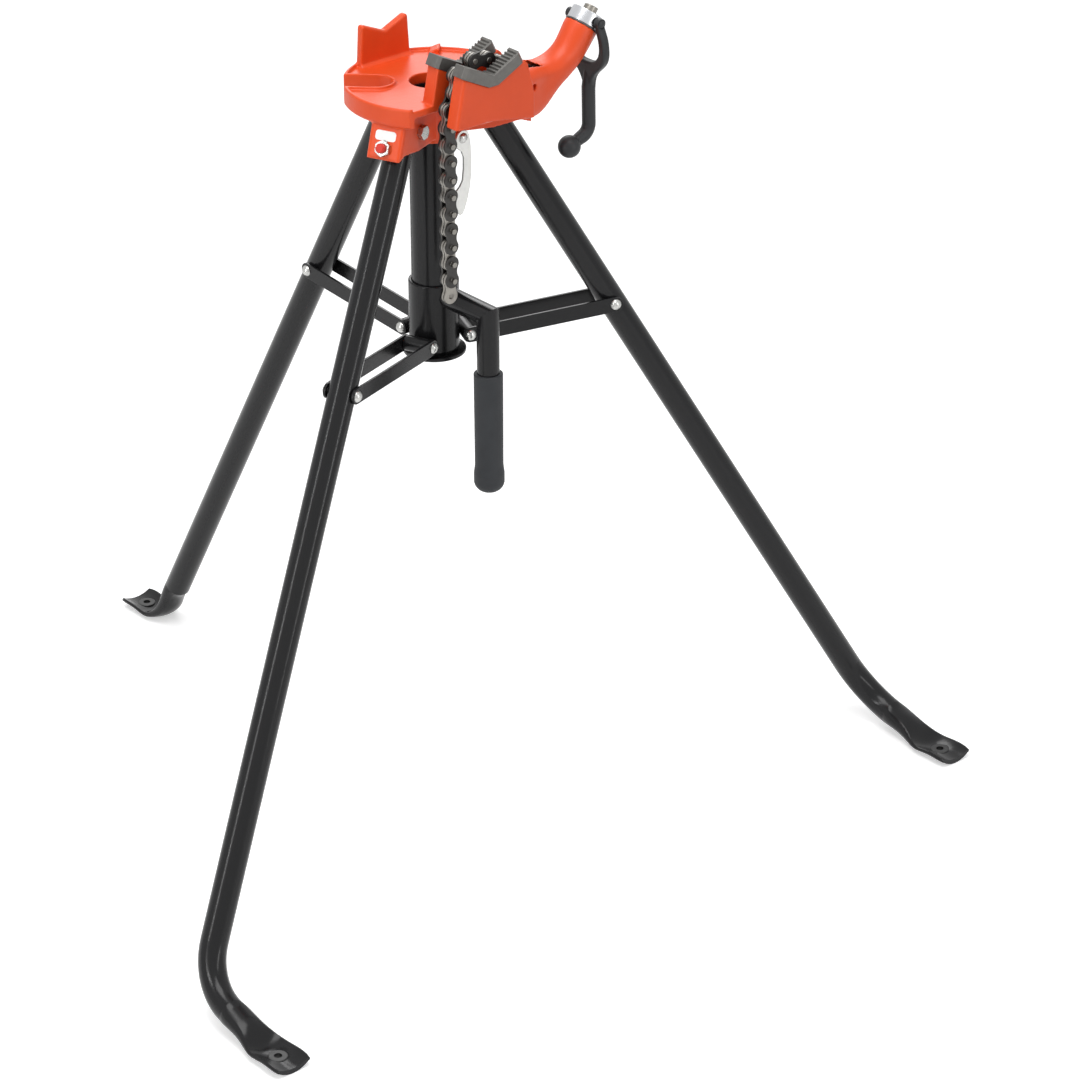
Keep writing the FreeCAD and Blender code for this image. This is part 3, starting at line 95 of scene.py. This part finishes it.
class Shading:
    """The nodes of a material or of the world."""

    def __init__(self, owner, shader):
        owner.use_nodes = True
        self.nodes = owner.node_tree.nodes
        self.links = owner.node_tree.links
        self.shader = self.nodes[shader]

    def fill(self, node, socket, value):
        """Gives a node's socket a value or a link."""
        if isinstance(value, Socket):
            self.links.new(value.link, node.inputs[socket])
        else:
            node.inputs[socket].default_value = value

    def set(self, socket, value):
        """Gives one of the shader's sockets a value or a link."""
        self.fill(self.shader, socket, value)

    def node(self, kind, settings, sockets, output=0):
        """Adds a node: its settings first, then the values or links of its sockets."""
        node = self.nodes.new(kind)
        for key, value in settings.items():
            setattr(node, key, value)
        for socket, value in sockets.items():
            self.fill(node, socket, value)
        return Socket(self, node.outputs[output])

    def ray(self, kind):
        """1 on rays of one kind, else 0."""
        return self.node("ShaderNodeLightPath", {}, {}, output="Is %s Ray" % kind)

    def seen(self):
        """1 on rays from the camera, from a mirror or through glass, else 0."""
        return self.ray("Camera").highest(self.ray("Glossy")).highest(self.ray("Transmission"))


class Finish(Shading):
    """A material on one Principled shader."""

    def __init__(self, name, color, roughness, metallic=0.0, specular=0.5, coat=0.0, coat_roughness=0.1):
        self.material = bpy.data.materials.new(name)
        super().__init__(self.material, "Principled BSDF")
        self.set("Base Color", (*color, 1.0))
        self.set("Roughness", roughness)
        self.set("Metallic", metallic)
        self.set("Specular IOR Level", specular)
        self.set("Coat Weight", coat)
        self.set("Coat Roughness", coat_roughness)
        self.material.diffuse_color = (*color, 1.0)

    def noise(self, scale, detail):
        """Noise from 0 to 1, with its scale in cells per metre."""
        where = self.node("ShaderNodeTexCoord", {}, {}, output="Object")
        return self.node("ShaderNodeTexNoise", {}, {"Vector": where, "Scale": scale, "Detail": detail})

    def mix(self, factor, first, second):
        """Blend of two colours."""
        colors = {MIX_FACTOR: factor, MIX_FIRST: first, MIX_SECOND: second}
        return self.node("ShaderNodeMix", {"data_type": "RGBA"}, colors, output=MIX_RESULT)

    def vary_color(self, factor, color, darkest, lightest):
        """Runs the base colour from one multiple of a colour to another."""
        self.set("Base Color", self.mix(factor, tint(color, darkest), tint(color, lightest)))

    def vary_roughness(self, factor, least, most):
        """Runs the roughness from one value to another."""
        self.set("Roughness", least + (most - least) * factor)

    def bump(self, height, strength, distance):
        """Raises the surface by a height from 0 to 1, over a distance in metres."""
        sockets = {"Height": height, "Strength": strength, "Distance": distance}
        self.set("Normal", self.node("ShaderNodeBump", {}, sockets))


def tint(color, amount):
    """Multiple of a colour, with an alpha of 1."""
    return tuple(min(1.0, c * amount) for c in color) + (1.0,)


# ---------------------------------------------------------------- finishes
def casting_paint():
    """Orange-red powder coat over a sand casting: orange peel over soft lumps, in uneven patches."""
    color = (0.74, 0.070, 0.011)
    lump_color = (0.78, 0.088, 0.016, 1.0)
    paint = Finish("casting_powder_coat", color, 0.42, specular=0.36, coat=0.06, coat_roughness=0.25)
    peel = paint.noise(scale=1100, detail=3.0)
    lumps = paint.noise(scale=120, detail=3.0)
    patches = paint.noise(scale=22, detail=2.0)
    tone = paint.mix(patches, tint(color, 0.90), tint(color, 1.06))
    paint.set("Base Color", paint.mix(lumps * 0.4, tone, lump_color))
    paint.vary_roughness(peel, least=0.34, most=0.50)
    paint.bump(peel * 0.35 + lumps, strength=0.45, distance=0.0006)
    return paint


def enamel(name, color, roughness):
    """Black stove enamel on steel: soft ripples and a little dust in the film."""
    paint = Finish(name, color, roughness, specular=0.24)
    ripple = paint.noise(scale=38, detail=2.0)
    dust = paint.noise(scale=900, detail=2.0)
    paint.vary_color(dust, color, darkest=0.8, lightest=1.3)
    paint.vary_roughness(ripple, least=roughness - 0.03, most=roughness + 0.04)
    paint.bump(ripple + dust * 0.08, strength=0.10, distance=0.0006)
    return paint


def bare_metal(name, color, roughness, spread, scale=260, wear=0.1, grain=2400, depth=0.0002):
    """Metal with uneven dullness and a fine grain."""
    metal = Finish(name, color, roughness, metallic=1.0)
    cloud = metal.noise(scale, detail=3.0)
    fine = metal.noise(grain, detail=2.0)
    metal.vary_roughness(cloud, least=roughness - spread / 2, most=roughness + spread / 2)
    metal.vary_color(cloud, color, darkest=1 - wear, lightest=1 + wear)
    metal.bump(fine, strength=0.15, distance=depth)
    return metal


def forged_steel():
    """Phosphated jaw: dark grey, cloudy and finely pitted."""
    color = (0.135, 0.130, 0.122)
    steel = Finish("jaw_steel", color, 0.46, metallic=0.75)
    cloud = steel.noise(scale=180, detail=3.0)
    pits = steel.noise(scale=1500, detail=3.0)
    steel.vary_color(cloud, color, darkest=0.8, lightest=1.3)
    steel.vary_roughness(pits, least=0.40, most=0.56)
    steel.bump(pits + cloud * 0.4, strength=0.3, distance=0.0003)
    return steel


def moulded_rubber():
    """Matte dark grey grip with a fine spark-eroded skin."""
    color = (0.026, 0.028, 0.031)
    skin = Finish("grip_rubber", color, 0.6, specular=0.3)
    leather = skin.noise(scale=1400, detail=3.0)
    bloom = skin.noise(scale=40, detail=2.0)
    skin.vary_color(bloom, color, darkest=0.85, lightest=1.35)
    skin.vary_roughness(leather, least=0.52, most=0.66)
    skin.bump(leather, strength=0.4, distance=0.0004)
    return skin


def dull(name, color, roughness, scale, depth):
    """Matte paint with a fine grain."""
    skin = Finish(name, color, roughness, specular=0.32)
    grain = skin.noise(scale, detail=3.0)
    cloud = skin.noise(scale=60, detail=2.0)
    skin.vary_color(cloud, color, darkest=0.85, lightest=1.2)
    skin.vary_roughness(grain, least=roughness - 0.06, most=roughness + 0.06)
    skin.bump(grain, strength=0.3, distance=depth)
    return skin


FINISHES = {
    "orange_casting": casting_paint(),
    "black_tube": enamel("tube_enamel", (0.0100, 0.0100, 0.0108), 0.20),
    "black_fitting": enamel("fitting_enamel", (0.0085, 0.0085, 0.0092), 0.24),
    "jaw_steel": forged_steel(),
    "zinc": bare_metal("zinc_plate", (0.50, 0.50, 0.485), 0.27, 0.14),
    "nut_zinc": bare_metal(
        "bright_zinc_plate", (0.56, 0.57, 0.59), 0.26, 0.04, scale=90, wear=0.05, depth=0.00005
    ),
    "stop_red": dull("stop_screw_paint", (0.62, 0.030, 0.018), 0.40, scale=600, depth=0.0003),
    "chain_black": bare_metal(
        "chain_plate_black", (0.062, 0.060, 0.058), 0.44, 0.16, grain=1600, depth=0.0003
    ),
    "chain_steel": bare_metal("chain_plate_bare", (0.30, 0.285, 0.26), 0.38, 0.16, wear=0.2),
    "screw_steel": bare_metal("oiled_steel", (0.25, 0.235, 0.21), 0.34, 0.14),
    "washer_dark": bare_metal("washer_steel", (0.10, 0.10, 0.10), 0.45, 0.1),
    "crank_paint": dull("crank_enamel", (0.021, 0.022, 0.024), 0.46, scale=420, depth=0.0005),
    "grip_rubber": moulded_rubber(),
    "latch_zinc": bare_metal("latch_zinc_plate", (0.64, 0.64, 0.62), 0.40, 0.16),
    "eyelet_steel": bare_metal("eyelet_dark_steel", (0.05, 0.05, 0.05), 0.36, 0.12),
}
PIN_STEEL = bare_metal("chain_pin_steel", (0.24, 0.23, 0.21), 0.32, 0.12)
PLATE_BLANK = dull("blank_plate_white", (0.86, 0.86, 0.85), 0.35, scale=300, depth=0.0001)
PLATE_EDGE = dull("blank_plate_border", (0.30, 0.29, 0.29), 0.45, scale=300, depth=0.0001)


def finish_of(node):
    """Material of the slot that the record gives to a node."""
    return FINISHES[NODE_SLOT[node]].material


for node, obj in frame["nodes"].items():
    obj.data.materials.clear()
    obj.data.materials.append(finish_of(node))

# ---------------------------------------------------------------- ways of making a piece
SHARP = math.radians(38)
MERGE = 0.002 * MM
FLAT = math.radians(0.4)
EDGE_SEGMENTS = 2
PLATE_CORNER_SEGMENTS = 8
TURNED_STEPS = 96


def object_from(bm, name, *materials):
    """Object at the origin that takes over a bmesh."""
    mesh = bpy.data.meshes.new(name)
    bm.to_mesh(mesh)
    bm.free()
    for material in materials:
        mesh.materials.append(material)
    obj = bpy.data.objects.new(name, mesh)
    scene.collection.objects.link(obj)
    return obj


def merged_mesh(node):
    """Copy of a node's mesh with its corners merged."""
    bm = bmesh.new()
    bm.from_mesh(frame["nodes"][node].data)
    bmesh.ops.remove_doubles(bm, verts=bm.verts, dist=MERGE)
    return bm


def node_mesh(node):
    """Clean copy of a node's mesh: corners merged and flat faces made whole."""
    bm = merged_mesh(node)
    bmesh.ops.dissolve_limit(bm, angle_limit=FLAT, verts=bm.verts, edges=bm.edges)
    return bm


def rounded(bm, geom, offset, segments, affect, clamp):
    """Bevels edges or corners round by an offset in millimetres."""
    bmesh.ops.bevel(
        bm,
        geom=geom,
        offset=offset * MM,
        offset_type="OFFSET",
        segments=segments,
        profile=0.5,
        affect=affect,
        clamp_overlap=clamp,
        material=-1,
    )


def soften(bm, width):
    """Rounds over the sharp edges."""
    edges = [e for e in bm.edges if len(e.link_faces) == 2 and e.calc_face_angle(0.0) > SHARP]
    rounded(bm, edges, width, EDGE_SEGMENTS, "EDGES", clamp=False)


def finished(bm, name, node, *materials, weighted=True):
    """Object from a bmesh that stands for a node and rides on its body."""
    obj = object_from(bm, name, *(materials or [finish_of(node)]))
    obj.data.shade_smooth()
    obj.data.set_sharp_from_angle(angle=SHARP)
    if weighted:
        normals = obj.modifiers.new("even_shading", "WEIGHTED_NORMAL")
        normals.keep_sharp = True
    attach(obj, BODY_OF[node])
    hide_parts(node)
    return obj


def softened(node, width):
    """Copy of a node with its sharp edges rounded over."""
    bm = node_mesh(node)
    soften(bm, width)
    return finished(bm, node + "_finished", node)


def outline_edges(bm, outline):
    """Open outline of (radius, height) in millimetres, to be spun about Z."""
    points = [bm.verts.new((radius * MM, 0, height * MM)) for radius, height in outline]
    return points + [bm.edges.new(pair) for pair in zip(points, points[1:])]


def stand_along(bm, foot, axis):
    """Turns a piece made along Z to lie along an axis from its foot."""
    turn = axis.to_track_quat("Z", "Y").to_matrix().to_4x4()
    bmesh.ops.transform(bm, matrix=Matrix.Translation(foot) @ turn, verts=bm.verts)


# ---------------------------------------------------------------- castings
HEAD_GRAIN = 1.15
HEAD_EASE = 0.5
HEAD_EASE_PASSES = 4


def cast_head():
    """Head casting with the soft edges that a sand mould gives."""
    head = finished(merged_mesh("vise_base"), "head_casting", "vise_base", weighted=False)
    mould = head.modifiers.new("mould", "REMESH")
    mould.mode = "VOXEL"
    mould.voxel_size = HEAD_GRAIN * MM
    mould.use_smooth_shade = True
    relax = head.modifiers.new("soft_edges", "SMOOTH")
    relax.factor = HEAD_EASE
    relax.iterations = HEAD_EASE_PASSES
    return head


cast_head()

# ---------------------------------------------------------------- fittings and fasteners
EDGE_WIDTHS = {
    "near_jaw": 0.5,
    "far_jaw": 0.5,
    "leg_hinge_bolts": 0.5,
    "leg_hinge_nuts": 0.5,
    "stop_lock_nuts": 0.5,
    "latch_hook": 0.6,
    "slide_collar": 0.6,
    "link_bosses": 0.6,
    "thrust_washer": 0.3,
    "link_bars_left": 0.5,
    "link_bars_right": 0.5,
    "link_bars_rear": 0.5,
}
for node, width in EDGE_WIDTHS.items():
    softened(node, width)

# ---------------------------------------------------------------- ring nut
NUT_CENTRE = Vector(JOINTS["nut_turn"]["pos_m"])
NUT_AXIS = Vector(JOINTS["nut_turn"]["axis"])
NUT_R = 18.0
NUT_BORE_R = 8.1
NUT_HALF = 7.3
NUT_CHAMFER = 1.1
BORE_CHAMFER = NUT_CHAMFER / 2
RIM_ROUND = NUT_CHAMFER * 0.3


def ring_nut():
    """Bright round nut with chamfered rims."""
    upper = [
        (NUT_R, NUT_HALF - NUT_CHAMFER),
        (NUT_R - RIM_ROUND, NUT_HALF - RIM_ROUND),
        (NUT_R - NUT_CHAMFER, NUT_HALF),
        (NUT_BORE_R + BORE_CHAMFER, NUT_HALF),
        (NUT_BORE_R, NUT_HALF - BORE_CHAMFER),
    ]
    lower = [(radius, -height) for radius, height in reversed(upper)]
    bm = bmesh.new()
    bmesh.ops.spin(
        bm,
        geom=outline_edges(bm, lower + upper + lower[:1]),
        cent=(0, 0, 0),
        axis=(0, 0, 1),
        angle=math.tau,
        steps=TURNED_STEPS,
        use_merge=True,
    )
    bmesh.ops.remove_doubles(bm, verts=bm.verts, dist=MERGE)
    bmesh.ops.recalc_face_normals(bm, faces=bm.faces)
    stand_along(bm, NUT_CENTRE, NUT_AXIS)
    return finished(bm, "ring_nut_turned", "ring_nut")


ring_nut()

# ---------------------------------------------------------------- chain
CHAIN_LINKS = 22
CHAIN_X = middle_x("chain_link_02")
CHAIN_PLATE_FACE = 5.9
CHAIN_EDGE = 0.3


def chain_link(number):
    """Link with eased plate edges, and pins of brighter steel where they stand out of the plates."""
    node = "chain_link_%02d" % number
    bm = node_mesh(node)
    soften(bm, CHAIN_EDGE)
    for face in bm.faces:
        if abs(face.calc_center_median().x - CHAIN_X) > CHAIN_PLATE_FACE * MM:
            face.material_index = 1
    return finished(bm, node + "_finished", node, finish_of(node), PIN_STEEL.material)


for number in range(1, CHAIN_LINKS + 1):
    chain_link(number)

# ---------------------------------------------------------------- screw end
THREAD_R = 8.0
THREAD_ROOT_R = 7.1
THREAD_PITCH = 2.0
THREAD_TURNS = 4
THREAD_STEPS = 40
THREAD_START_INSIDE = 1.5


def thread_mesh():
    """Screw thread along Z, with its ends closed."""
    bm = bmesh.new()
    turn = [(THREAD_ROOT_R, 0.0), (THREAD_R, THREAD_PITCH / 2), (THREAD_ROOT_R, THREAD_PITCH)]
    bmesh.ops.spin(
        bm,
        geom=outline_edges(bm, turn),
        cent=(0, 0, 0),
        axis=(0, 0, 1),
        dvec=(0, 0, THREAD_PITCH / THREAD_STEPS * MM),
        angle=math.tau * THREAD_TURNS,
        steps=THREAD_STEPS * THREAD_TURNS,
    )
    bmesh.ops.remove_doubles(bm, verts=bm.verts, dist=MERGE)
    bmesh.ops.holes_fill(bm, edges=[e for e in bm.edges if e.is_boundary])
    bmesh.ops.recalc_face_normals(bm, faces=bm.faces)
    return bm


def threaded_screw():
    """Tension screw with its thread cut where it stands out of the nut."""
    start = NUT_CENTRE + NUT_AXIS * (NUT_HALF - THREAD_START_INSIDE) * MM
    bm = node_mesh("tension_screw")
    everything = bm.verts[:] + bm.edges[:] + bm.faces[:]
    bmesh.ops.bisect_plane(bm, geom=everything, plane_co=start, plane_no=NUT_AXIS, clear_outer=True)
    bmesh.ops.holes_fill(bm, edges=[e for e in bm.edges if e.is_boundary])
    thread = thread_mesh()
    stand_along(thread, start, NUT_AXIS)
    joined = bpy.data.meshes.new("thread")
    thread.to_mesh(joined)
    thread.free()
    bm.from_mesh(joined)
    bpy.data.meshes.remove(joined)
    return finished(bm, "tension_screw_threaded", "tension_screw")


threaded_screw()

# ---------------------------------------------------------------- blank plate on the left bracket
PLATE_AZIMUTH = math.radians(-67.76)
PLATE_Z = 834.0
PLATE_LONG = 24.0
PLATE_TALL = 10.5
PLATE_CORNER = 3.2
PLATE_BORDER = 0.9
PLATE_PROUD = 0.25
PLATE_SEEK = 200.0


def blank_plate():
    """Small white plate with rounded corners and a grey border, on the bracket's outer face."""
    outward = Vector((math.cos(PLATE_AZIMUTH), math.sin(PLATE_AZIMUTH), 0.0))
    outside = Vector((middle_x("center_post"), 0.0, PLATE_Z * MM)) + outward * PLATE_SEEK * MM
    head = node_mesh("vise_base")
    place, normal, _, _ = BVHTree.FromBMesh(head).ray_cast(outside, -outward)
    head.free()
    across = Vector((0, 0, 1)).cross(normal).normalized()
    up = normal.cross(across)
    bm = bmesh.new()
    bmesh.ops.create_grid(bm, x_segments=1, y_segments=1, size=0.5)
    bmesh.ops.scale(bm, vec=(PLATE_LONG * MM, PLATE_TALL * MM, 1.0), verts=bm.verts)
    rounded(bm, bm.verts[:], PLATE_CORNER, PLATE_CORNER_SEGMENTS, "VERTICES", clamp=True)
    thickness = PLATE_BORDER * MM
    border = bmesh.ops.inset_region(bm, faces=bm.faces[:], thickness=thickness, use_even_offset=True)
    for face in border["faces"]:
        face.material_index = 1
    bmesh.ops.solidify(bm, geom=bm.faces[:], thickness=2 * PLATE_PROUD * MM)
    bmesh.ops.recalc_face_normals(bm, faces=bm.faces)
    sunk = -PLATE_PROUD * MM - min(v.co.z for v in bm.verts)
    bmesh.ops.translate(bm, verts=bm.verts, vec=(0, 0, sunk))
    lie = Matrix((across, up, normal)).transposed().to_4x4()
    bmesh.ops.transform(bm, matrix=Matrix.Translation(place) @ lie, verts=bm.verts)
    plate = object_from(bm, "bracket_plate", PLATE_BLANK.material, PLATE_EDGE.material)
    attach(plate, BODY_OF["vise_base"])
    return plate


blank_plate()

# ---------------------------------------------------------------- stage
FLOOR_HALF = 30.0
FLOOR_LIFT = 0.46
BACKDROP = 1.0
AMBIENT = 0.36
MIDDLE = Vector((0.0, 0.0, 0.5))


def studio_floor():
    """Pale floor, lifted to white where it is seen, that keeps the object's shadow."""
    ground = Finish("studio_floor", (0.90, 0.90, 0.90), 0.9)
    ground.set("Emission Color", (1.0, 1.0, 1.0, 1.0))
    ground.set("Emission Strength", ground.seen() * FLOOR_LIFT)
    bm = bmesh.new()
    bmesh.ops.create_grid(bm, x_segments=1, y_segments=1, size=FLOOR_HALF)
    floor = object_from(bm, "studio_floor", ground.material)
    return floor


def studio_light():
    """Plain ambient light, with a white backdrop where it is seen."""
    scene.world = bpy.data.worlds.new("studio")
    sky = Shading(scene.world, "Background")
    sky.set("Color", (1.0, 1.0, 1.0, 1.0))
    sky.set("Strength", AMBIENT + sky.seen() * (BACKDROP - AMBIENT))


def area_lamp(name, place, wide, high, power):
    """Soft box of the given width and height, in metres, turned towards the object's middle."""
    lamp = bpy.data.lights.new(name, "AREA")
    lamp.shape = "RECTANGLE"
    lamp.size = wide
    lamp.size_y = high
    lamp.energy = power
    obj = bpy.data.objects.new(name, lamp)
    scene.collection.objects.link(obj)
    obj.location = place
    obj.rotation_euler = (MIDDLE - Vector(place)).to_track_quat("-Z", "Y").to_euler()
    return obj


studio_floor()
studio_light()
area_lamp("top_box", (0.5, -0.6, 3.0), wide=1.5, high=1.5, power=40)
area_lamp("left_strip", (0.3, -2.8, 1.5), wide=0.14, high=2.2, power=22)
area_lamp("right_strip", (2.7, 0.5, 1.4), wide=0.14, high=2.2, power=15)
area_lamp("back_box", (-2.2, 1.6, 2.4), wide=1.2, high=1.2, power=20)

# ---------------------------------------------------------------- camera
CAMERA_PLACE = (3.3850, -2.6331, 2.4646)
CAMERA_FORWARD = Vector((-0.67640, 0.57785, -0.45669)).normalized()
CAMERA_ROLL = math.radians(-0.19)
CAMERA_LENS = 140.3
SENSOR = 36.0
FAR_CLIP = 100.0


def front_camera():
    """Long-lens camera off the stand's front left corner, looking down on it."""
    lens = bpy.data.cameras.new("front_camera")
    lens.lens = CAMERA_LENS
    lens.sensor_width = SENSOR
    lens.clip_end = FAR_CLIP
    camera = bpy.data.objects.new("front_camera", lens)
    scene.collection.objects.link(camera)
    aim = CAMERA_FORWARD.to_track_quat("-Z", "Y").to_matrix() @ Matrix.Rotation(CAMERA_ROLL, 3, "Z")
    camera.matrix_world = Matrix.Translation(CAMERA_PLACE) @ aim.to_4x4()
    return camera


scene.camera = front_camera()
scene.view_settings.view_transform = "Standard"
